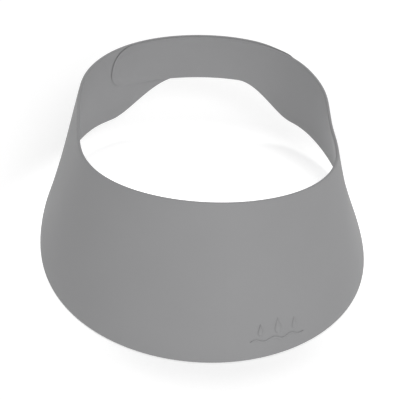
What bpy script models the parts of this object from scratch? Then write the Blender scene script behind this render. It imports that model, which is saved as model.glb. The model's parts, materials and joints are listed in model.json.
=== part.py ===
"""A child's bath visor: one band of soft silicone, wide at the brow and narrow behind the head.

The band is a sheet that lies on a cone whose apex is above the wearer. Its rim is everywhere the
same distance from that apex, and its lower edge stands on the floor, so the brim is deep in front.
Behind the head it narrows to a strap, whose left tail laps over the right one. Pegs moulded on
the right tail press through holes in the left tail and close the ring.

Left and right are as seen from in front of the visor. A bearing is an angle in degrees round the
head: 0 is the brow (-Y), +90 the right side (+X), -90 the left side, and 180 the back of the head.
The left tail runs on past -180 and the right tail past +180.
"""

import math

import bmesh
import bpy
from mathutils import Matrix, Vector

# The sheet, in metres.
SHEET = 0.0015                  # thickness of the moulding
GAP = 0.0003                    # clearance between solids that touch on the real visor
RIM_SLANT = 0.2420              # apex to rim, along the sheet
APEX_HEIGHT = 0.2874            # apex above the floor
STRAP_WIDTH = 0.0271            # the band behind the head
EAR_LIFT = 0.0110               # how far the lower edge leaves the floor behind the ears
FLOOR_TRIM = 0.0012             # extra sheet below the floor, trimmed flat

# The sheet's slope from the vertical at each bearing, in degrees, as a sum of waves round the head.
RIM_SLOPE = 17.84
RIM_SLOPE_WAVES = (1.05, 3.06, 0.67, -0.19)     # cosines of 1, 2, 3 and 4 times the bearing
RIM_SLOPE_LEAN = (-0.35, -0.28)                 # sines of 1 and 2 times the bearing
FLARE = -0.69                                   # change of slope from rim to floor
FLARE_WAVES = (1.78, -1.43)

# Bearings round the head, in degrees.
LIFT_START, LIFT_END = 88.0, 140.0              # where the lower edge leaves the floor
LEFT_NOTCH = (145.0, 176.0)                     # where the sheet narrows to the strap
RIGHT_NOTCH = (135.0, 166.0)
TEMPLE = 60.0                                   # flex line between brim and side
EAR_BACK = 100.0                                # flex line between side and strap
OUTER_TIP = -227.0                              # end of the left tail
LAP_EASE = (104.0, 127.0)                       # where a tail steps off the ring's own surface
COLUMN_STEP = 3.0                               # widest facet
SHEET_ROWS = 6

# The lap and its closure, in metres.
LAP_GAP = 0.0006                # air between the two tails
HOLE_COUNT = 9
HOLE_PITCH = 0.0112
HOLE_RADIUS = 0.0026
HOLE_SIDES = 16
STEM_RADIUS = 0.0019
HEAD_RADIUS = 0.0036
HEAD_HEIGHT = 0.0016
PEG_STEPS = 20
HINGE_STANDOFF = 0.0003         # hinge lines lie this far outside the sheet, so a gap only opens

SILICONE_GREY = (0.296, 0.296, 0.300, 1.0)

APEX = Vector((0.0, 0.0, APEX_HEIGHT))
HALF_GAP = math.degrees(GAP / 2.0 / 0.056)      # as a bearing, at the rim's tightest radius
TIP_ARC = [math.radians(a) for a in (15, 30, 45, 60, 72, 82)]


def smoothstep(x):
    x = min(1.0, max(0.0, x))
    return x * x * (3.0 - 2.0 * x)


def between(bearing, start, end):
    """0 before start, 1 after end, and a soft S between them."""
    return smoothstep((abs(bearing) - start) / (end - start))


def rim_slope(bearing):
    turn = math.radians(bearing)
    slope = RIM_SLOPE
    slope += sum(size * math.cos((k + 1) * turn) for k, size in enumerate(RIM_SLOPE_WAVES))
    slope += sum(size * math.sin((k + 1) * turn) for k, size in enumerate(RIM_SLOPE_LEAN))
    return slope


def flare(bearing):
    turn = math.radians(bearing)
    return FLARE + sum(size * math.cos((k + 1) * turn) for k, size in enumerate(FLARE_WAVES))


def full_width(bearing):
    """Rim to floor along the sheet, with the trim."""
    slope = math.radians(rim_slope(bearing) + flare(bearing))
    return (APEX_HEIGHT + FLOOR_TRIM) / math.cos(slope) - RIM_SLANT


def band_width(bearing):
    """Rim to lower edge along the sheet."""
    notch = LEFT_NOTCH if bearing < 0 else RIGHT_NOTCH
    narrowed = between(bearing, *notch)
    skirt = full_width(bearing) - EAR_LIFT * between(bearing, LIFT_START, LIFT_END)
    return skirt * (1.0 - narrowed) + STRAP_WIDTH * narrowed


def sheet_point(bearing, depth):
    """A point of the sheet's middle surface, at a depth below the rim."""
    bend = flare(bearing) * (depth / full_width(bearing)) ** 2
    slope = math.radians(rim_slope(bearing) + bend)
    turn = math.radians(bearing)
    outward = Vector((math.sin(turn), -math.cos(turn), 0.0)) * math.sin(slope)
    return APEX + (RIM_SLANT + depth) * (outward - Vector((0.0, 0.0, math.cos(slope))))


def sheet_normal(bearing, depth):
    """The outward normal, from two short steps along the sheet."""
    along = sheet_point(bearing + 0.05, depth) - sheet_point(bearing - 0.05, depth)
    up = sheet_point(bearing, depth - 0.0002) - sheet_point(bearing, depth + 0.0002)
    return along.cross(up).normalized()


def lap_offset(bearing):
    """The left tail steps outwards and the right tail inwards, by half of a sheet and its gap."""
    step = (SHEET + LAP_GAP) / 2.0 * between(bearing, *LAP_EASE)
    return step if bearing < 0 else -step


def lapped_point(bearing, depth, outwards=0.0):
    """A point of a tail or side, a distance outwards from the middle of its own thickness."""
    return sheet_point(bearing, depth) + sheet_normal(bearing, depth) * (
        lap_offset(bearing) + outwards)


def metres_per_degree(bearing):
    depth = STRAP_WIDTH / 2.0
    return (sheet_point(bearing + 0.5, depth) - sheet_point(bearing - 0.5, depth)).length


def walk_back(bearing, distance):
    """The bearing reached from a tail's own, a distance back along the middle of the strap."""
    steps = 24
    for _ in range(steps):
        turned = distance / steps / metres_per_degree(bearing)
        bearing -= math.copysign(turned, bearing)
    return bearing


def centre_shift():
    """Moves the middle of the visor's footprint to the origin."""
    skin = [lapped_point(b, band_width(b), SHEET / 2.0) for b in range(-180, 180)]
    skin += [lapped_point(b, 0.0, SHEET / 2.0) for b in range(-180, 180)]
    low_x, high_x = min(p.x for p in skin), max(p.x for p in skin)
    low_y, high_y = min(p.y for p in skin), max(p.y for p in skin)
    return Vector((-(low_x + high_x) / 2.0, -(low_y + high_y) / 2.0, 0.0))


SHIFT = centre_shift()


def stations(start, end, round_tip=False):
    """Columns from start to end as (bearing, share of the tip's half circle already passed)."""
    sign = 1.0 if end > start else -1.0
    if not round_tip:
        count = max(1, math.ceil(abs(end - start) / COLUMN_STEP))
        return [(start + (end - start) * i / count, 0.0) for i in range(count + 1)]
    radius_bearing = STRAP_WIDTH / 2.0 / metres_per_degree(end)
    centre = end - sign * radius_bearing
    columns = stations(start, centre)
    return columns + [(centre + sign * radius_bearing * math.sin(a), a) for a in TIP_ARC]


def sheet_mesh(name, columns):
    """A grid laid on the cone: one column for each station, from the lower edge up to the rim."""
    columns = sorted(columns)
    bm = bmesh.new()
    last = len(columns) - 1
    bmesh.ops.create_grid(bm, x_segments=last, y_segments=SHEET_ROWS, size=0.5)
    for vertex in bm.verts:
        bearing, arc = columns[round((vertex.co.x + 0.5) * last)]
        width = band_width(bearing)
        half_height = width / 2.0 * math.cos(arc)
        depth = width / 2.0 - half_height * 2.0 * vertex.co.y
        vertex.co = lapped_point(bearing, depth) + SHIFT
    mesh = bpy.data.meshes.new(name)
    bm.to_mesh(mesh)
    bm.free()
    mesh.shade_smooth()
    return mesh


def new_collection(name):
    collection = bpy.data.collections.new(name)
    bpy.context.scene.collection.children.link(collection)
    return collection


def silicone(name):
    material = bpy.data.materials.new(name)
    material.use_nodes = True
    shader = material.node_tree.nodes["Principled BSDF"]
    shader.inputs["Base Color"].default_value = SILICONE_GREY
    shader.inputs["Roughness"].default_value = 0.62
    shader.inputs["Metallic"].default_value = 0.0
    return material


def add_piece(name, mesh, collection, parent=None):
    piece = bpy.data.objects.new(name, mesh)
    mesh.materials.append(silicone(name + "_silicone"))
    collection.objects.link(piece)
    if parent is not None:
        piece.parent = parent
        piece.matrix_parent_inverse = parent.matrix_world.inverted()
    return piece


def add_hinge(name, bearing, collection, parent=None):
    """An empty on the flex line, its Z along the sheet's own straight line towards the apex."""
    width = band_width(bearing)
    outwards = SHEET / 2.0 + HINGE_STANDOFF
    low = lapped_point(bearing, width, outwards)
    high = lapped_point(bearing, 0.0, outwards)
    empty = bpy.data.objects.new(name, None)
    empty.empty_display_size = 0.01
    collection.objects.link(empty)
    turn = (high - low).to_track_quat("Z", "Y").to_matrix().to_4x4()
    world = Matrix.Translation((low + high) / 2.0 + SHIFT) @ turn
    if parent is not None:
        empty.parent = parent
        empty.matrix_parent_inverse = parent.matrix_world.inverted()
    empty.matrix_basis = world
    bpy.context.view_layer.update()
    return empty


def add_cutter(name, mesh, collection):
    cutter = bpy.data.objects.new(name, mesh)
    cutter.hide_render = True
    cutter.display_type = "WIRE"
    collection.objects.link(cutter)
    return cutter


def cut(piece, cutter):
    modifier = piece.modifiers.new("cut_" + cutter.name, "BOOLEAN")
    modifier.operation = "DIFFERENCE"
    modifier.solver = "EXACT"
    modifier.object = cutter


def thicken(piece):
    modifier = piece.modifiers.new("thickness", "SOLIDIFY")
    modifier.thickness = SHEET
    modifier.offset = 0.0
    modifier.use_even_offset = True


def floor_cutter(collection):
    """A block whose top is the floor: it trims the standing edge flat."""
    bm = bmesh.new()
    bmesh.ops.create_cube(bm, size=1.0)
    bmesh.ops.scale(bm, vec=(0.4, 0.4, 0.02), verts=bm.verts)
    bmesh.ops.translate(bm, vec=(0.0, 0.0, -0.01), verts=bm.verts)
    mesh = bpy.data.meshes.new("floor_cutter")
    bm.to_mesh(mesh)
    bm.free()
    return add_cutter("floor_cutter", mesh, collection)


def strap_frame(bearing):
    """Z out of the sheet and Y up it, on the ring's own surface at the middle of the strap."""
    point = sheet_point(bearing, STRAP_WIDTH / 2.0) + SHIFT
    normal = sheet_normal(bearing, STRAP_WIDTH / 2.0)
    up = (sheet_point(bearing, 0.0) - sheet_point(bearing, STRAP_WIDTH)).normalized()
    across = up.cross(normal).normalized()
    turn = Matrix((across, normal.cross(across), normal)).transposed().to_4x4()
    return Matrix.Translation(point) @ turn


def hole_bearings():
    """Holes at an even pitch along the left tail. The first is centred in its round tip."""
    first = walk_back(OUTER_TIP, STRAP_WIDTH / 2.0)
    return [walk_back(first, HOLE_PITCH * k) for k in range(HOLE_COUNT)]


def inner_tip():
    """The right tail ends in a round tip centred on its last peg."""
    peg = 360.0 + hole_bearings()[-1]
    return peg + STRAP_WIDTH / 2.0 / metres_per_degree(peg)


def hole_cutter(collection):
    bm = bmesh.new()
    for bearing in hole_bearings():
        bmesh.ops.create_cone(
            bm, cap_ends=True, segments=HOLE_SIDES, radius1=HOLE_RADIUS, radius2=HOLE_RADIUS,
            depth=0.008, matrix=strap_frame(bearing))
    mesh = bpy.data.meshes.new("hole_cutter")
    bm.to_mesh(mesh)
    bm.free()
    return add_cutter("hole_cutter", mesh, collection)


def peg_profile():
    """Half the outline of a peg, from its crown down to its foot on the inner tail."""
    foot = GAP - LAP_GAP / 2.0
    head_base = LAP_GAP / 2.0 + SHEET + GAP
    quarter = [math.radians(a) for a in (0, 22.5, 45, 67.5, 90)]
    crown = [(HEAD_RADIUS * math.sin(a), head_base + HEAD_HEIGHT * math.cos(a)) for a in quarter]
    lip = HEAD_RADIUS - STEM_RADIUS
    return crown + [(HEAD_RADIUS - lip * 0.2, head_base), (STEM_RADIUS, head_base),
                    (STEM_RADIUS, foot), (0.0, foot)]


def add_peg(name, bearing, collection, parent):
    """A turned peg that stands on the inner tail, through a hole in the outer one."""
    outline = peg_profile()
    mesh = bpy.data.meshes.new(name)
    mesh.from_pydata([(x, 0.0, z) for x, z in outline],
                     [(i, i + 1) for i in range(len(outline) - 1)], [])
    peg = add_piece(name, mesh, collection)
    peg.parent = parent
    peg.matrix_world = strap_frame(bearing)
    turned = peg.modifiers.new("turned", "SCREW")
    turned.axis = "Z"
    turned.steps = PEG_STEPS
    turned.render_steps = PEG_STEPS
    turned.use_merge_vertices = True
    turned.merge_threshold = 0.00005
    turned.use_smooth_shade = True
    return peg


def build():
    for old in list(bpy.data.objects):
        bpy.data.objects.remove(old)
    pieces = new_collection("bath_visor")
    cutters = new_collection("cutters")

    left_flex = add_hinge("left_side_flex", -TEMPLE, pieces)
    right_flex = add_hinge("right_side_flex", TEMPLE, pieces)
    outer_flex = add_hinge("outer_strap_flex", -EAR_BACK, pieces, left_flex)
    inner_flex = add_hinge("inner_strap_flex", EAR_BACK, pieces, right_flex)

    sheets = [
        ("brim", stations(-TEMPLE + HALF_GAP, TEMPLE - HALF_GAP), None),
        ("left_side", stations(-TEMPLE - HALF_GAP, -EAR_BACK + HALF_GAP), left_flex),
        ("right_side", stations(TEMPLE + HALF_GAP, EAR_BACK - HALF_GAP), right_flex),
        ("outer_strap", stations(-EAR_BACK - HALF_GAP, OUTER_TIP, round_tip=True), outer_flex),
        ("inner_strap", stations(EAR_BACK + HALF_GAP, inner_tip(), round_tip=True), inner_flex),
    ]
    floor = floor_cutter(cutters)
    for name, columns, hinge in sheets:
        piece = add_piece(name, sheet_mesh(name, columns), pieces, hinge)
        thicken(piece)
        if name in ("brim", "left_side", "right_side"):
            cut(piece, floor)
    cut(bpy.data.objects["outer_strap"], hole_cutter(cutters))

    holes = hole_bearings()
    add_peg("end_peg", holes[0], pieces, inner_flex)
    add_peg("tip_peg", holes[-1], pieces, inner_flex)


build()
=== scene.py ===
# %% [markdown]
# # A child's bath visor in soft silicone
#
# The visor is a single sheet of soft silicone, 1.5 mm thick. It was moulded flat, as a wide band
# with two tails, and it takes its shape when the tails are lapped behind the head and pegged: the
# band then lies on a cone. This notebook follows the same order. It draws the pieces flat, lays
# them on the cone with one Geometry Nodes tree, punches the holes, adds the moulded pegs and the
# small raised mark, and finishes everything in matte grey.
#
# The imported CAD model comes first. It fixes the sizes, the joints and the bodies that pieces
# ride on, and nothing in it is moved here.

# %% Load the fixed frame
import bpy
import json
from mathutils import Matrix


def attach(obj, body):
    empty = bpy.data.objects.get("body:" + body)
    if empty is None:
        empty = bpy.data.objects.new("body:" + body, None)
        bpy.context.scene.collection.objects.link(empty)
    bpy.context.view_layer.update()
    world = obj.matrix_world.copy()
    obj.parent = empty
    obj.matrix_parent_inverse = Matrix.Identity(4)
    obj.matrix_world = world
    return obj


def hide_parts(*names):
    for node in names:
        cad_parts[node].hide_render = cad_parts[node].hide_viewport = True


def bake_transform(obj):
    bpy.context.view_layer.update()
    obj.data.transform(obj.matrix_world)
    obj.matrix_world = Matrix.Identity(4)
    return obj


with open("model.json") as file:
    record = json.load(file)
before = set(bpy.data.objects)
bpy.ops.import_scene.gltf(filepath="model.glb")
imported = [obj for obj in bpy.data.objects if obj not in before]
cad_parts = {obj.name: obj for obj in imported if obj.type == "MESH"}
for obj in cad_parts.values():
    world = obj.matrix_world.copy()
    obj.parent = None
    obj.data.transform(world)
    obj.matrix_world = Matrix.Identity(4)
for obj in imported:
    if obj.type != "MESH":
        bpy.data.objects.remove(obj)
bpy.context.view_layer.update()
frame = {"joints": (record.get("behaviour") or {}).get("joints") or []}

# %% Blender's modules, and the joints by name
import math

import bmesh
import bpy
from mathutils import Matrix, Vector

joints = {joint["name"]: joint for joint in frame["joints"]}
print("joints:", ", ".join(joints))

# %% [markdown]
# ## The sheet and the cone that it lies on
#
# A bearing goes round the head: 0 is the brow, towards -Y, +90 the right side as seen from in
# front, -90 the left side, and 180 the back. A depth runs down the sheet from its rim. Every
# ruling of the cone starts at an apex above the head, and the rim is the same distance from
# that apex all the way round, so only the slope of each ruling has to be known. It changes
# smoothly round the head, so a short sum of waves describes it. The numbers are the CAD's own,
# but for the lifts and the notches, which follow the real edge more closely, and the gap
# between the tails, which is air in the CAD and all but shut here.

# %% Sizes of the sheet, in metres
SHEET = 0.0015
RIM_SLANT = 0.2420
APEX_HEIGHT = 0.2874
STRAP_WIDTH = 0.0271
LEFT_LIFT, RIGHT_LIFT = 0.0126, 0.0146          # how far the lower edge leaves the floor
FLOOR_TRIM = 0.0012             # the flare is complete a little below the floor
LAP_GAP = 0.0001                # pegged tight, so the tails all but touch
TIP_RADIUS = STRAP_WIDTH / 2
EDGE_ROUND = SHEET / 2
CENTRE = Vector((0.002336, 0.016241, 0.0))      # stands the origin in the footprint's middle
print("the strap is", round(1000 * STRAP_WIDTH, 1), "mm wide and", 1000 * SHEET, "mm thick")

# %% Slopes from the vertical, in radians, as waves round the head
RIM_SLOPE = math.radians(17.84)
RIM_SLOPE_WAVES = [math.radians(size) for size in (1.05, 3.06, 0.67, -0.19)]
RIM_SLOPE_LEAN = [math.radians(size) for size in (-0.35, -0.28)]
FLARE = math.radians(-0.69)
FLARE_WAVES = [math.radians(size) for size in (1.78, -1.43)]

# %% Bearings, in degrees
LEFT_LIFT_SPAN, RIGHT_LIFT_SPAN = (88, 140), (80, 140)
LEFT_NOTCH, RIGHT_NOTCH = (144.5, 174.3), (138.7, 163.0)
LAP_START, LAP_END = 104, 127       # where a tail steps off the ring's own surface
OUTER_TIP = -227                # the left tail runs on past the back of the head
SIDE_MIDDLE = 80
TEMPLE, EAR_BACK = 60, 100      # the flex lines
print("the outer tail laps", -180 - OUTER_TIP, "degrees past the back of the head")

# %% [markdown]
# ## Formulas that Python and Geometry Nodes share
#
# The slope is needed twice: here, to know how wide the band is, and inside a node tree, to bend
# the flat pieces. Writing it once is safer. `Field` wraps a socket of a node tree, so that
# ordinary arithmetic on it adds Math nodes, and `sine` and `cosine` take a number or a Field.
# A turn is a bearing in radians. The slope at the rim comes from the waves, and below it the
# flare grows with the square of the depth.

# %% A number in a node tree
class Field:
    def __init__(self, tree, socket):
        self.tree, self.socket = tree, socket

    def node(self, operation, *others):
        math_node = self.tree.nodes.new("ShaderNodeMath")
        math_node.operation = operation
        for socket, value in zip(math_node.inputs, (self,) + others):
            plug(self.tree, value, socket)
        return Field(self.tree, math_node.outputs[0])

    def __add__(self, other):
        return self.node("ADD", other)

    def __sub__(self, other):
        return self.node("SUBTRACT", other)

    def __mul__(self, other):
        return self.node("MULTIPLY", other)

    def __truediv__(self, other):
        return self.node("DIVIDE", other)

    def __neg__(self):
        return self * -1.0

    def __rsub__(self, other):
        return -self + other

    __radd__, __rmul__ = __add__, __mul__


def plug(tree, value, socket):
    """A Field is linked to the socket, and a plain value is set on it."""
    if isinstance(value, Field):
        tree.links.new(value.socket, socket)
    else:
        socket.default_value = value


def sine(angle):
    return angle.node("SINE") if isinstance(angle, Field) else math.sin(angle)


def cosine(angle):
    return angle.node("COSINE") if isinstance(angle, Field) else math.cos(angle)


# %% The slope of a ruling, how fast it changes round the head, and the brim's extra flare
def rim_slope(turn):
    waves = sum(size * cosine(turn * (k + 1)) for k, size in enumerate(RIM_SLOPE_WAVES))
    lean = sum(size * sine(turn * (k + 1)) for k, size in enumerate(RIM_SLOPE_LEAN))
    return waves + lean + RIM_SLOPE


def slope_change(turn):
    waves = sum(-size * (k + 1) * sine(turn * (k + 1)) for k, size in enumerate(RIM_SLOPE_WAVES))
    lean = sum(size * (k + 1) * cosine(turn * (k + 1)) for k, size in enumerate(RIM_SLOPE_LEAN))
    return waves + lean


def flare(turn):
    return sum(size * cosine(turn * (k + 1)) for k, size in enumerate(FLARE_WAVES)) + FLARE


def slope_at(turn, depth, rim_slant=RIM_SLANT, apex_height=APEX_HEIGHT):
    """The slope at a depth below the rim, and how fast the flare changes it."""
    full_width = (apex_height + FLOOR_TRIM) / cosine(rim_slope(turn) + flare(turn)) - rim_slant
    share = depth / full_width
    return rim_slope(turn) + flare(turn) * share * share, flare(turn) * share * 2 / full_width


for turn in (0, 90, 180):
    slope = math.degrees(rim_slope(math.radians(turn)))
    print("slope of the rim at", turn, "is", round(slope, 1), "degrees")


# %% A point of the sheet and its outward normal
def on_cone(turn, depth, rim_slant=RIM_SLANT, apex_height=APEX_HEIGHT):
    """The three parts of the point and of the normal, which isn't yet one long."""
    slope, bend = slope_at(turn, depth, rim_slant, apex_height)
    reach = depth + rim_slant
    across, along = sine(turn), cosine(turn)
    out, down = sine(slope), cosine(slope)
    point = (reach * out * across, -(reach * out * along), apex_height - reach * down)
    face = out * down - reach * out * out * bend
    rise = out * out + reach * out * down * bend
    turning = slope_change(turn)
    normal = (face * across - turning * along, -(face * along) - turning * across, rise)
    return point, normal


print("the rim at the brow, mm:", [round(1000 * part, 1) for part in on_cone(0.0, 0.0)[0]])

# %% [markdown]
# ## The band's outline on the flat sheet
#
# The lower edge stands on the floor as far as the ears, leaves it in a soft curve, and then swings
# up to a narrow strap. An S-curve makes each change soft. Left and right differ, as the moulding
# isn't quite symmetric.

# %% How wide the band is at a bearing
FLOOR_ROUNDS = 4                # the slope there depends on the depth, so it is found in rounds


def s_curve(value, start, end):
    share = min(1.0, max(0.0, (value - start) / (end - start)))
    return share * share * (3 - 2 * share)


def floor_depth(turn):
    """The depth at which the sheet's rounded edge just touches the floor."""
    depth = APEX_HEIGHT - RIM_SLANT
    for _ in range(FLOOR_ROUNDS):
        depth = (APEX_HEIGHT - EDGE_ROUND) / math.cos(slope_at(turn, depth)[0])
        depth += EDGE_ROUND - RIM_SLANT
    return depth


def band_width(bearing):
    turned = abs(bearing)
    if bearing < 0:
        lift, narrowed = LEFT_LIFT * s_curve(turned, *LEFT_LIFT_SPAN), s_curve(turned, *LEFT_NOTCH)
    else:
        lift, narrowed = RIGHT_LIFT * s_curve(turned, *RIGHT_LIFT_SPAN), s_curve(turned, *RIGHT_NOTCH)
    lift = lift - FLOOR_TRIM if lift > 2 * FLOOR_TRIM else lift * lift / (4 * FLOOR_TRIM)
    skirt = floor_depth(math.radians(bearing)) - lift
    return skirt * (1 - narrowed) + STRAP_WIDTH * narrowed


def metres_per_degree(bearing, depth=TIP_RADIUS):
    """How far apart rulings a degree apart are, at the middle of the strap or another depth."""
    ends = [Vector(on_cone(math.radians(bearing + step), depth)[0]) for step in (-0.5, 0.5)]
    return (ends[1] - ends[0]).length


for bearing in (0, 60, 90, 120, 150, 180):
    print("band width at", bearing, "is", round(1000 * band_width(bearing), 1), "mm")

# %% [markdown]
# ## Drawing a flat piece of the sheet
#
# Each piece is a closed skin: its outer face, its inner face, and a full round along the free
# edges, as a silicone mould leaves them. The skin is drawn in flat coordinates, with the bearing
# as X, the depth as Y and the height above the sheet's middle as Z. Rows crowd together near an
# edge, so that the round is smooth. A tail ends in a round tip, a little squarer than a half
# circle, that thins towards its edge on its free side and so lies snug on the other tail.

# %% Rows and columns
EDGE_STEPS = [EDGE_ROUND * (1 - math.cos(math.radians(a))) for a in (0, 20, 40, 60, 75, 90)]
INNER_ROWS = 24
FEATHER = 0.0045                # a tail's tip thins towards its edge over this distance
FEATHER_START = 0.020           # and this far back from the tip's centre it isn't thinned at all
EDGE_LEAN = 0.00045             # the thinned edge lies this much nearer to the other tail
SQUARENESS = 2.4                # of a tip's outline: 2 is a half circle
TIP_ANGLES = [8, 16, 24, 32, 40, 48, 56, 64, 70, 75, 80, 84, 87, 90]


def row_depths(width):
    """Depths below the rim, from one free edge to the other."""
    span = width - 2 * EDGE_ROUND
    middle = [EDGE_ROUND + span * k / INNER_ROWS for k in range(1, INNER_ROWS)]
    return EDGE_STEPS + middle + [width - step for step in reversed(EDGE_STEPS)]


def column_stations(start, end, round_end=False):
    """Bearings from start to end, and how far each lies past the centre of the round tip."""
    side = math.copysign(1, end - start)
    radius = TIP_RADIUS / metres_per_degree(end) if round_end else 0.0
    centre = end - side * radius
    count = math.ceil(abs(centre - start))
    stations = [(start + (centre - start) * k / count, -math.inf) for k in range(count + 1)]
    if round_end:
        step = metres_per_degree(centre)
        stations = [(bearing, -abs(centre - bearing) * step) for bearing, _ in stations]
        reaches = [math.sin(math.radians(angle)) ** (2 / SQUARENESS) for angle in TIP_ANGLES]
        stations += [(centre + side * radius * reach, TIP_RADIUS * reach) for reach in reaches]
    return sorted(stations)


# %% One column of the skin, as a closed ring of points
def column_ring(bearing, past):
    """Past is how far the column lies beyond the centre of a round tip, and is negative before."""
    if past > 0:
        gone = (past / TIP_RADIUS) ** SQUARENESS
        scale = max(0.0, 1 - gone) ** (1 / SQUARENESS)
        depths = [TIP_RADIUS + (depth - TIP_RADIUS) * scale for depth in row_depths(STRAP_WIDTH)]
        shares = [abs(depth / TIP_RADIUS - 1) ** SQUARENESS for depth in depths]
        from_edge = [TIP_RADIUS * (1 - (gone + share) ** (1 / SQUARENESS)) for share in shares]
    else:
        depths = row_depths(band_width(bearing))
        from_edge = [min(depth, depths[-1] - depth) for depth in depths]
    inset = [1 - min(1.0, max(0.0, distance) / EDGE_ROUND) for distance in from_edge]
    rounded = [math.sqrt(1 - share * share) for share in inset]
    thinned = s_curve(past, -FEATHER_START, 0.0)
    lean = EDGE_LEAN * thinned
    touching = [lean + (SHEET / 2 - lean) * share for share in rounded]
    feather = [1 - thinned * (1 - s_curve(distance, 0.0, FEATHER)) for distance in from_edge]
    free = [(SHEET / 2 + lean) * share * soft - lean for share, soft in zip(rounded, feather)]
    outside, inside = (free, touching) if bearing < 0 else (touching, free)
    outer = [Vector((bearing, *place)) for place in reversed(list(zip(depths, outside)))]
    inner = [Vector((bearing, depth, -height)) for depth, height in zip(depths, inside)][1:-1]
    return outer + inner


# %% The flat skin of a piece
FLAT_SCALE = 0.0014             # metres of sheet to a degree, for the pattern of the finish
FLAT_MERGE = 1e-7


def flat_skin(name, stations):
    bm = bmesh.new()
    flat = bm.loops.layers.uv.new("laid_flat")
    rings = [[bm.verts.new(co) for co in column_ring(*station)] for station in stations]
    count = len(rings[0])
    for left, right in zip(rings, rings[1:]):
        for k in range(count):
            after = (k + 1) % count
            bm.faces.new((left[k], right[k], right[after], left[after]))
    bm.faces.new(rings[0])
    bm.faces.new(reversed(rings[-1]))
    for loop in (loop for face in bm.faces for loop in face.loops):
        loop[flat].uv = (loop.vert.co.x * FLAT_SCALE, loop.vert.co.y)
    bmesh.ops.remove_doubles(bm, verts=bm.verts, dist=FLAT_MERGE)
    mesh = bpy.data.meshes.new(name)
    bm.to_mesh(mesh)
    bm.free()
    piece = bpy.data.objects.new(name, mesh)
    bpy.context.scene.collection.objects.link(piece)
    return piece


# %% [markdown]
# ## Laying a flat piece on the cone
#
# A Geometry Nodes tree does the bending, because the shape follows a rule. It reads bearing,
# depth and height from each point's flat position, works out the point on the cone and its
# normal with the formulas above, and adds the height along the normal. Where the tails lap, the
# left one steps outwards and the right one inwards, by half a sheet and half the gap.

# %% Small helpers for node trees
def new_tree(name, inputs):
    tree = bpy.data.node_groups.new(name, "GeometryNodeTree")
    for label, kind in inputs:
        tree.interface.new_socket(label, in_out="INPUT", socket_type=kind)
    tree.interface.new_socket("Geometry", in_out="OUTPUT", socket_type="NodeSocketGeometry")
    return tree, tree.nodes.new("NodeGroupInput"), tree.nodes.new("NodeGroupOutput")


def combine(tree, parts):
    node = tree.nodes.new("ShaderNodeCombineXYZ")
    for socket, value in zip(node.inputs, parts):
        plug(tree, value, socket)
    return node.outputs[0]


def vector_math(tree, operation, *values):
    node = tree.nodes.new("ShaderNodeVectorMath")
    node.operation = operation
    sockets = [node.inputs["Vector"], node.inputs["Scale" if operation == "SCALE" else 1]]
    for socket, value in zip(sockets, values):
        tree.links.new(value.socket if isinstance(value, Field) else value, socket)
    return node.outputs[0]


def cone_place(tree, source):
    """The point on the cone and its unit normal, for a point that is still flat."""
    split = tree.nodes.new("ShaderNodeSeparateXYZ")
    tree.links.new(tree.nodes.new("GeometryNodeInputPosition").outputs[0], split.inputs[0])
    bearing, depth, height = (Field(tree, socket) for socket in split.outputs)
    slant = Field(tree, source.outputs["Rim Slant"])
    apex = Field(tree, source.outputs["Apex Height"])
    point, normal = on_cone(bearing * math.radians(1), depth, slant, apex)
    unit = vector_math(tree, "NORMALIZE", combine(tree, normal))
    centred = vector_math(tree, "ADD", combine(tree, point), source.outputs["Centre"])
    return bearing, height, centred, unit


# %% The tree that lays a flat mesh on the cone
SIZE_INPUTS = [
    ("Geometry", "NodeSocketGeometry"),
    ("Rim Slant", "NodeSocketFloat"),
    ("Apex Height", "NodeSocketFloat"),
    ("Centre", "NodeSocketVector"),
]
LAY_INPUTS = SIZE_INPUTS + [("Lap Step", "NodeSocketFloat"), ("Material", "NodeSocketMaterial")]


def lay_on_cone_tree():
    """The lap step fades in along an S-curve, outwards for the left tail and inwards for the right."""
    tree, source, sink = new_tree("lay_on_cone", LAY_INPUTS)
    bearing, height, point, unit = cone_place(tree, source)
    share = ((bearing.node("ABSOLUTE") - LAP_START) / (LAP_END - LAP_START)).node("MAXIMUM", 0.0)
    share = share.node("MINIMUM", 1.0)
    lapped = share * share * (3.0 - share * 2.0)
    step = lapped * Field(tree, source.outputs["Lap Step"]) * -(bearing.node("SIGN"))
    lift = vector_math(tree, "SCALE", unit, height + step)
    move = tree.nodes.new("GeometryNodeSetPosition")
    tree.links.new(source.outputs["Geometry"], move.inputs["Geometry"])
    tree.links.new(vector_math(tree, "ADD", point, lift), move.inputs["Position"])
    paint = tree.nodes.new("GeometryNodeSetMaterial")
    tree.links.new(move.outputs[0], paint.inputs["Geometry"])
    tree.links.new(source.outputs["Material"], paint.inputs["Material"])
    tree.links.new(paint.outputs[0], sink.inputs[0])
    return tree


# %% Running a tree on an object, and turning the result into a plain mesh
SHARP_ANGLE = math.radians(50)


def add_tree(piece, tree, values):
    """Values are set by each socket's identifier, before the object is first evaluated."""
    modifier = piece.modifiers.new(tree.name, "NODES")
    modifier.node_group = tree
    for socket in tree.interface.items_tree:
        if socket.in_out == "INPUT" and socket.name in values:
            modifier[socket.identifier] = values[socket.name]
    return modifier


def settle(piece):
    """Replaces the mesh and its live modifiers by what they make, smooth but for sharp corners."""
    graph = bpy.context.evaluated_depsgraph_get()
    made = bpy.data.meshes.new_from_object(piece.evaluated_get(graph), depsgraph=graph)
    piece.modifiers.clear()
    old, piece.data = piece.data, made
    bpy.data.meshes.remove(old)
    made.shade_smooth()
    made.set_sharp_from_angle(angle=SHARP_ANGLE)
    print(piece.name, "has", len(made.polygons), "faces")
    return piece


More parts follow.
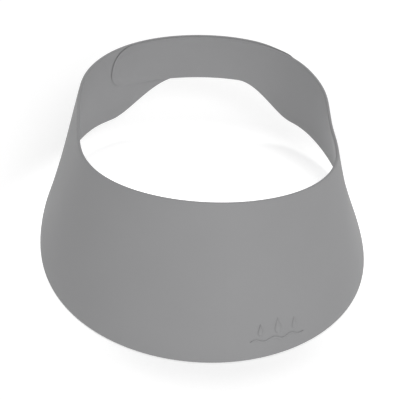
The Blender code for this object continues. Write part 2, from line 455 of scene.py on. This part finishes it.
# %% The values that every piece shares
lay_on_cone = lay_on_cone_tree()
print("lay_on_cone has", len(lay_on_cone.nodes), "nodes")
sizes = {
    "Rim Slant": RIM_SLANT,
    "Apex Height": APEX_HEIGHT,
    "Centre": CENTRE,
    "Lap Step": (SHEET + LAP_GAP) / 2,
}

# %% [markdown]
# ## The silicone
#
# Moulded silicone is matte and slightly soft to the light. Close up it carries the fine grain of
# a blasted mould, and over a hand's width its grey drifts by a shade. Both follow the sheet, so
# they read the flat coordinates kept as the `laid_flat` UV map. The grain is a bump, and the
# drift changes colour and roughness by a little. A low specular level keeps the sheet matte
# where it is seen at a slant.

# %% One grey silicone, with its grain and drift
SILICONE_GREY = (0.262, 0.262, 0.266)
SILICONE_IOR, SILICONE_GLOSS = 1.41, 0.25
GRAIN_PER_METRE, GRAIN_DETAIL = 2600, 2
GRAIN_HEIGHT, GRAIN_STRENGTH = 0.000025, 0.6
DRIFT_PER_METRE, DRIFT_DETAIL = 22, 3
DRIFT_OF_GREY = 0.025           # each way
ROUGHNESS_RANGE = (0.50, 0.60)
NOISE_RANGE = (0.3, 0.7)        # noise keeps near its middle


def add_noise(nodes, links, vector, scale, detail):
    noise = nodes.new("ShaderNodeTexNoise")
    noise.inputs["Scale"].default_value = scale
    noise.inputs["Detail"].default_value = detail
    links.new(vector, noise.inputs["Vector"])
    return noise.outputs["Fac"]


def map_range(nodes, links, value, source, target):
    ranged = nodes.new("ShaderNodeMapRange")
    for label, limit in zip(("From Min", "From Max", "To Min", "To Max"), source + target):
        ranged.inputs[label].default_value = limit
    links.new(value, ranged.inputs["Value"])
    return ranged


def silicone_material(name):
    material = bpy.data.materials.new(name)
    material.use_nodes = True
    nodes, links = material.node_tree.nodes, material.node_tree.links
    shader = nodes["Principled BSDF"]
    shader.inputs["IOR"].default_value = SILICONE_IOR
    shader.inputs["Specular IOR Level"].default_value = SILICONE_GLOSS
    flat = nodes.new("ShaderNodeUVMap")
    flat.uv_map = "laid_flat"
    drift = add_noise(nodes, links, flat.outputs["UV"], DRIFT_PER_METRE, DRIFT_DETAIL)
    grain = add_noise(nodes, links, flat.outputs["UV"], GRAIN_PER_METRE, GRAIN_DETAIL)
    tint = nodes.new("ShaderNodeMix")
    tint.data_type = "RGBA"
    for label, share in (("A", 1 - DRIFT_OF_GREY), ("B", 1 + DRIFT_OF_GREY)):
        tint.inputs[label].default_value = [part * share for part in SILICONE_GREY] + [1]
    tint_share = map_range(nodes, links, drift, NOISE_RANGE, (0, 1))
    links.new(tint_share.outputs["Result"], tint.inputs["Factor"])
    links.new(tint.outputs["Result"], shader.inputs["Base Color"])
    roughness = map_range(nodes, links, drift, NOISE_RANGE, ROUGHNESS_RANGE)
    links.new(roughness.outputs["Result"], shader.inputs["Roughness"])
    bump = nodes.new("ShaderNodeBump")
    bump.inputs["Strength"].default_value = GRAIN_STRENGTH
    bump.inputs["Distance"].default_value = GRAIN_HEIGHT
    links.new(grain, bump.inputs["Height"])
    links.new(bump.outputs["Normal"], shader.inputs["Normal"])
    return material


silicone = silicone_material("grey_silicone")
sizes["Material"] = silicone
print(silicone.name, "has", len(silicone.node_tree.nodes), "nodes")

# %% [markdown]
# ## The band, in four skins
#
# The band bends at four flex lines: at each temple, and behind each ear. Each skin here is laid
# at rest, and only the points on each side of its flex line are found.

# %% The points about a flex line, and a skin laid on the cone
FLEX_REACH = 0.020              # the points are set this far to each side of a flex line


def flex_line(joint_name, bearing):
    """Points before and after the joint's flex line, square to it and along the sheet."""
    joint = joints[joint_name]
    position, axis = Vector(joint["pos_m"]), Vector(joint["axis"]).normalized()
    normal = Vector(on_cone(math.radians(bearing), band_width(bearing) / 2)[1])
    along = axis.cross(normal).normalized()
    if along.y < 0:
        along.negate()
    return position - along * FLEX_REACH, position + along * FLEX_REACH


def band_skin(name, start, end, round_end=False):
    piece = flat_skin(name, column_stations(start, end, round_end))
    add_tree(piece, lay_on_cone, sizes)
    return piece


# %% The two halves of the brim
for side, name in ((-1, "left"), (1, "right")):
    skin = settle(band_skin(name + "_brim_skin", 0, side * SIDE_MIDDLE))
    start, end = flex_line(name + "_side_flex", side * TEMPLE)
    name + "_side"
    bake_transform(skin)
    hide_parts("brim", name + "_side")

# %% [markdown]
# ## The holes and pegs
#
# The left tail has a row of round holes. The first is centred in its round tip, and the rest
# follow at an even pitch, measured along the strap. Pegs moulded on the right tail press through
# the first hole and the last. Repeats are what Geometry Nodes are good at: one vertex for each
# hole or peg is laid on the cone, and a turned shape is set on it, its axis along the normal.
# The cutter for a hole is a spool, wider at both faces, so each hole gets a softened lip.

# %% Places along the strap
HOLE_COUNT = 9
HOLE_PITCH = 0.0112
HOLE_RADIUS = 0.0026
INNER_TIP_MARGIN = 0.0018       # sheet left past the last peg, beyond the tip's own radius
WALK_STEPS = 24


def walk_back(bearing, distance):
    """The bearing reached from this one, a distance back along the middle of the strap."""
    for _ in range(WALK_STEPS):
        bearing -= math.copysign(distance / WALK_STEPS / metres_per_degree(bearing), bearing)
    return bearing


first_hole = walk_back(OUTER_TIP, TIP_RADIUS)
hole_bearings = [walk_back(first_hole, HOLE_PITCH * k) for k in range(HOLE_COUNT)]
peg_bearing = 360 + hole_bearings[-1]
INNER_TIP = peg_bearing + (TIP_RADIUS + INNER_TIP_MARGIN) / metres_per_degree(peg_bearing)
print("holes at", [round(bearing, 1) for bearing in hole_bearings])


# %% Turned shapes
TURNED_SIDES = 48
ROUND_STEPS = 4                 # of a small round: a lip, a neck or a fillet
TURNED_MERGE = 1e-6


def turned(name, outline):
    """Turns an outline of (radius, height) points, from top to bottom, into a closed solid."""
    bm = bmesh.new()
    verts = [bm.verts.new((radius, 0.0, height)) for radius, height in outline]
    edges = [bm.edges.new(pair) for pair in zip(verts, verts[1:])]
    bmesh.ops.spin(bm, geom=verts + edges, axis=(0, 0, 1), cent=(0, 0, 0),
                   angle=2 * math.pi, steps=TURNED_SIDES, use_merge=True)
    bmesh.ops.remove_doubles(bm, verts=bm.verts, dist=TURNED_MERGE)
    bmesh.ops.recalc_face_normals(bm, faces=bm.faces)
    uv = bm.loops.layers.uv.new("laid_flat")
    for loop in (loop for face in bm.faces for loop in face.loops):
        loop[uv].uv = (loop.vert.co.x, loop.vert.co.y)
    mesh = bpy.data.meshes.new(name)
    bm.to_mesh(mesh)
    bm.free()
    return bpy.data.objects.new(name, mesh)


def arc(centre, radius, start, end, count=ROUND_STEPS):
    """Points of an arc in the (radius, height) plane, with angles from the outward direction."""
    angles = [math.radians(start + (end - start) * k / count) for k in range(count + 1)]
    return [(centre[0] + radius[0] * math.cos(a), centre[1] + radius[1] * math.sin(a))
            for a in angles]


# %% The spool that cuts a hole
TAIL_MIDDLE = (SHEET + LAP_GAP) / 2     # the outer tail's middle, above the ring's own surface
LIP = 0.00035                   # radius of the softened lip
PAST_FACES = LIP + 0.0002       # how far the spool runs past both faces


def hole_spool():
    top, bottom = TAIL_MIDDLE + SHEET / 2, TAIL_MIDDLE - SHEET / 2
    wide = HOLE_RADIUS + LIP
    upper = arc((wide, top - LIP), (-LIP, LIP), 90, 0)
    lower = arc((wide, bottom + LIP), (-LIP, LIP), 0, -90)
    high = [(0.0, top + PAST_FACES), (wide, top + PAST_FACES)]
    low = [(wide, bottom - PAST_FACES), (0.0, bottom - PAST_FACES)]
    return turned("hole_spool", high + upper + lower + low)


# %% The tree that sets a shape on each point
def set_on_cone_tree():
    """Each copy is set on its flat point, turned to the normal, and moved to the cone."""
    extra = [("Shape", "NodeSocketObject"), ("Material", "NodeSocketMaterial")]
    tree, source, sink = new_tree("set_on_cone", SIZE_INPUTS + extra)
    _, _, point, unit = cone_place(tree, source)
    shape = tree.nodes.new("GeometryNodeObjectInfo")
    tree.links.new(source.outputs["Shape"], shape.inputs["Object"])
    face = tree.nodes.new("FunctionNodeAlignRotationToVector")
    face.axis = "Z"
    tree.links.new(unit, face.inputs["Vector"])
    place = tree.nodes.new("GeometryNodeInstanceOnPoints")
    tree.links.new(source.outputs["Geometry"], place.inputs["Points"])
    tree.links.new(shape.outputs["Geometry"], place.inputs["Instance"])
    tree.links.new(face.outputs[0], place.inputs["Rotation"])
    move = tree.nodes.new("GeometryNodeTranslateInstances")
    tree.links.new(place.outputs[0], move.inputs["Instances"])
    flat_position = tree.nodes.new("GeometryNodeInputPosition")
    shift = vector_math(tree, "SUBTRACT", point, flat_position.outputs[0])
    tree.links.new(shift, move.inputs["Translation"])
    move.inputs["Local Space"].default_value = False
    real = tree.nodes.new("GeometryNodeRealizeInstances")
    tree.links.new(move.outputs[0], real.inputs[0])
    paint = tree.nodes.new("GeometryNodeSetMaterial")
    tree.links.new(real.outputs[0], paint.inputs["Geometry"])
    tree.links.new(source.outputs["Material"], paint.inputs["Material"])
    tree.links.new(paint.outputs[0], sink.inputs[0])
    return tree


set_on_cone = set_on_cone_tree()
print("set_on_cone has", len(set_on_cone.nodes), "nodes")


def set_row(name, bearings, shape):
    """One copy of a shape at each bearing, at the middle of the strap."""
    mesh = bpy.data.meshes.new(name)
    mesh.from_pydata([(bearing, TIP_RADIUS, 0.0) for bearing in bearings], [], [])
    row = bpy.data.objects.new(name, mesh)
    bpy.context.scene.collection.objects.link(row)
    add_tree(row, set_on_cone, {**sizes, "Shape": shape})
    return row


# %% The left tail, with its holes cut
left_tail = band_skin("left_tail_skin", -SIDE_MIDDLE, OUTER_TIP, round_end=True)
spools = set_row("hole_spools", hole_bearings, hole_spool())
settle(spools)
punch = left_tail.modifiers.new("holes", "BOOLEAN")
punch.operation = "DIFFERENCE"
punch.solver = "EXACT"
punch.object = spools
settle(left_tail)
bpy.data.objects.remove(spools)
start, end = flex_line("outer_strap_flex", -EAR_BACK)
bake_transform(left_tail)
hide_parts("left_side", "outer_strap")

# %% The right tail, which lies inside it
right_tail = settle(band_skin("right_tail_skin", SIDE_MIDDLE, INNER_TIP, round_end=True))
start, end = flex_line("inner_strap_flex", EAR_BACK)
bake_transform(right_tail)
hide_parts("right_side", "inner_strap")

# %% [markdown]
# A peg is one with the tail that it stands on, so its foot spreads into the sheet with a fillet.
# The head is a low mushroom, rounder on top than below, and wide enough to hold the tail down.

# %% The two pegs
STEM_RADIUS = 0.0019
HEAD_RADIUS = 0.0036
HEAD_TOP = 0.0035
HEAD_CLEARANCE = 0.0001
HEAD_BASE = TAIL_MIDDLE + SHEET / 2 + HEAD_CLEARANCE
CROWN_STEPS = 12
PEG_ROUND = 0.0004              # of the head's rim, its neck and the foot's fillet
PEG_ROOT = 0.0004               # how deep the foot is sunk in the inner tail


def peg_shape():
    inner_face = -LAP_GAP / 2
    lip, wide = PEG_ROUND, STEM_RADIUS + PEG_ROUND
    crown_height = HEAD_TOP - HEAD_BASE - lip
    middle = HEAD_TOP - crown_height
    crown = arc((0.0, middle), (HEAD_RADIUS, crown_height), 90, 0, CROWN_STEPS)
    under = arc((HEAD_RADIUS - lip, HEAD_BASE + lip), (lip, lip), 0, -90)[1:]
    neck = arc((wide, HEAD_BASE - lip), (-lip, lip), 90, 0)
    fillet = arc((wide, inner_face + lip), (-lip, lip), 0, -90)
    foot = [(wide, inner_face - PEG_ROOT), (0.0, inner_face - PEG_ROOT)]
    return turned("peg_shape", crown + under + neck + fillet + foot)


for name, bearing in (("end_peg", hole_bearings[0]), ("tip_peg", hole_bearings[-1])):
    peg = settle(set_row(name + "_moulding", [bearing], peg_shape()))
    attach(peg, "inner_strap")
    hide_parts(name)

# %% [markdown]
# ## The raised mark
#
# Near the lower edge, to the right of the brow, the mould leaves a small raised mark. This one
# is generic: three water drops over a ripple. It is drawn flat, in millimetres round its own
# centre, as rings that climb from below the surface to a soft dome, and the same tree lays it on
# the brim.

# %% Drops and a ripple, drawn flat
MARK_BEARING, MARK_DEPTH = 11.6, 0.0560
DROP_RELIEF, RIPPLE_RELIEF = 0.00050, 0.00030
MARK_RINGS = [(1.0, -0.5), (1.0, 0.0), (0.90, 0.40), (0.78, 0.72), (0.60, 0.92), (0.30, 1.0)]
DROPS = [(-8.0, 0.9, 2.7), (0.0, 1.7, 3.5), (8.0, 0.9, 2.7)]   # across, up, half the height
DROP_SPINE = 0.3                # a drop's middle lies this share of its half height down
DROP_PLUMPNESS, DROP_PINCH = 0.62, 1.6
RIPPLE_LENGTH, RIPPLE_SWING, RIPPLE_THICKNESS, RIPPLE_BELOW = 25.0, 0.6, 1.1, 3.9
RIPPLE_TAPER = 0.4              # the lower, the blunter its ends
mark_degree = metres_per_degree(MARK_BEARING, MARK_DEPTH)
print("a degree is", round(1000 * mark_degree, 2), "mm at the mark")


def drop_outline(centre_x, centre_y, size, count=40):
    """A teardrop with its point up: a circle pinched towards the top."""
    points = []
    for k in range(count):
        angle = 2 * math.pi * k / count
        pinch = math.sin(angle / 2) ** DROP_PINCH
        points.append((centre_x + size * DROP_PLUMPNESS * math.sin(angle) * pinch,
                       centre_y + size * math.cos(angle)))
    return points


def ripple_outline(thickness, waves=3, count=60):
    """A wavy bar with tapered ends, or with no thickness its middle line, there and back."""
    def line(k, side):
        share = k / count
        taper = math.sin(math.pi * share) ** RIPPLE_TAPER
        height = RIPPLE_SWING * math.sin(2 * math.pi * waves * share) - RIPPLE_BELOW
        return (RIPPLE_LENGTH * (share - 0.5), height + side * thickness / 2 * taper)
    top = [line(k, 1) for k in range(count + 1)]
    return top + [line(k, -1) for k in range(count - 1, 0, -1)]


# %% From an outline to a raised shape
def raise_outline(bm, uv, outline, spine, relief):
    """Rings shrink towards the spine, which gives each outline point its own nearest middle."""
    rings = []
    for share, climb in MARK_RINGS:
        ring = []
        for (x, y), (mid_x, mid_y) in zip(outline, spine):
            across, up = mid_x + (x - mid_x) * share, mid_y + (y - mid_y) * share
            height = SHEET / 2 + relief * climb
            place = (MARK_BEARING + across / 1000 / mark_degree, MARK_DEPTH - up / 1000, height)
            ring.append(bm.verts.new(place))
        rings.append(ring)
    for low, high in zip(rings, rings[1:]):
        for k in range(len(low)):
            after = (k + 1) % len(low)
            bm.faces.new((low[k], low[after], high[after], high[k]))
    bm.faces.new(rings[-1])
    bm.faces.new(reversed(rings[0]))
    for loop in (loop for face in bm.faces for loop in face.loops):
        loop[uv].uv = (loop.vert.co.x * FLAT_SCALE, loop.vert.co.y)


# %% The mark on the brim
bm = bmesh.new()
mark_uv = bm.loops.layers.uv.new("laid_flat")
for x, y, size in DROPS:
    outline = drop_outline(x, y, size)
    middle = (x, y - size * DROP_SPINE)
    raise_outline(bm, mark_uv, outline, [middle] * len(outline), DROP_RELIEF)
ripple, spine = ripple_outline(RIPPLE_THICKNESS), ripple_outline(0.0)
raise_outline(bm, mark_uv, ripple, spine, RIPPLE_RELIEF)
bmesh.ops.remove_doubles(bm, verts=bm.verts, dist=FLAT_MERGE)
bmesh.ops.recalc_face_normals(bm, faces=bm.faces)
mark_mesh = bpy.data.meshes.new("drop_mark")
bm.to_mesh(mark_mesh)
bm.free()
mark = bpy.data.objects.new("drop_mark", mark_mesh)
bpy.context.scene.collection.objects.link(mark)
add_tree(mark, lay_on_cone, sizes)
settle(mark)
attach(mark, "brim")

# %% [markdown]
# ## Floor, light and camera
#
# The visor stands on a plain white floor that runs to the horizon, in a bright even room. A
# large soft lamp in front, high and a little to the right, shapes the brim, and a smaller one
# high behind lights the strap. The floor glows a little by itself, and more under the head
# opening, where the ring would keep the light out, so that hardly any shadow falls.

# %% A white floor that glows under the opening
FLOOR_SIZE = 40
FLOOR_WHITE = (0.93, 0.93, 0.93, 1)
FLOOR_ROUGHNESS = 0.9
GLOW_REACH = (0.06, 0.11)       # radii between which the glow fades
GLOW_STRENGTH = (0.75, 0.18)    # under the opening, and out on the floor

bpy.ops.mesh.primitive_plane_add(size=FLOOR_SIZE)
floor = bpy.context.active_object
floor.name = "floor"
white = bpy.data.materials.new("white_floor")
white.use_nodes = True
nodes, links = white.node_tree.nodes, white.node_tree.links
paper = nodes["Principled BSDF"]
paper.inputs["Base Color"].default_value = FLOOR_WHITE
paper.inputs["Roughness"].default_value = FLOOR_ROUGHNESS
paper.inputs["Specular IOR Level"].default_value = 0.0
paper.inputs["Emission Color"].default_value = (1, 1, 1, 1)
place = nodes.new("ShaderNodeTexCoord")
distance = nodes.new("ShaderNodeVectorMath")
distance.operation = "LENGTH"
links.new(place.outputs["Object"], distance.inputs[0])
glow = map_range(nodes, links, distance.outputs["Value"], GLOW_REACH, GLOW_STRENGTH)
glow.interpolation_type = "SMOOTHSTEP"
links.new(glow.outputs["Result"], paper.inputs["Emission Strength"])
floor.data.materials.append(white)
print("the floor glows", GLOW_STRENGTH[0], "under the opening and", GLOW_STRENGTH[1], "outside")

# %% An even room and two soft lamps
ROOM_STRENGTH = 0.64
LAMP_AIM = Vector((0.0, 0.0, 0.03))     # the middle of the visor's height
LAMP_GLOSS = 0.3                # weak highlights, as from a lamp behind cloth
FRONT_LAMP = {"location": Vector((0.35, -1.5, 0.9)), "energy": 12.0, "size": 1.0}
BACK_LAMP = {"location": Vector((0.0, 0.78, 1.55)), "energy": 4.8, "size": 0.35}

bpy.context.scene.view_settings.view_transform = "Standard"
room = bpy.data.worlds.new("room")
room.use_nodes = True
room.node_tree.nodes["Background"].inputs["Color"].default_value = (1, 1, 1, 1)
room.node_tree.nodes["Background"].inputs["Strength"].default_value = ROOM_STRENGTH
bpy.context.scene.world = room


def soft_lamp(name, location, energy, size):
    data = bpy.data.lights.new(name, "AREA")
    data.energy = energy
    data.size = size
    data.specular_factor = LAMP_GLOSS
    lamp = bpy.data.objects.new(name, data)
    lamp.location = location
    lamp.rotation_euler = (LAMP_AIM - location).to_track_quat("-Z", "Y").to_euler()
    bpy.context.scene.collection.objects.link(lamp)
    print(name, "gives", energy, "W from", round(location.length, 2), "m")


soft_lamp("front_lamp", **FRONT_LAMP)
soft_lamp("back_lamp", **BACK_LAMP)

# %% The camera
CAMERA_AZIMUTH, CAMERA_ELEVATION, CAMERA_ROLL = (math.radians(a) for a in (-5.59, 33.76, 2.64))
CAMERA_DISTANCE = 0.4758
CAMERA_AIM = Vector((-0.0010, 0.0030, 0.0118))
CAMERA_LENS = 86.05             # in millimetres
NEAREST_SEEN = 0.01

back = Vector((math.sin(CAMERA_AZIMUTH) * math.cos(CAMERA_ELEVATION),
               -math.cos(CAMERA_AZIMUTH) * math.cos(CAMERA_ELEVATION),
               math.sin(CAMERA_ELEVATION)))
camera_data = bpy.data.cameras.new("camera")
camera_data.lens = CAMERA_LENS
camera_data.clip_start = NEAREST_SEEN
camera = bpy.data.objects.new("camera", camera_data)
upright = (-back).to_track_quat("-Z", "Y").to_matrix().to_4x4()
camera.matrix_world = (Matrix.Translation(CAMERA_AIM + back * CAMERA_DISTANCE) @ upright
                       @ Matrix.Rotation(CAMERA_ROLL, 4, "Z"))
bpy.context.scene.collection.objects.link(camera)
bpy.context.scene.camera = camera
print("camera at, mm:", [round(1000 * part) for part in camera.matrix_world.translation])
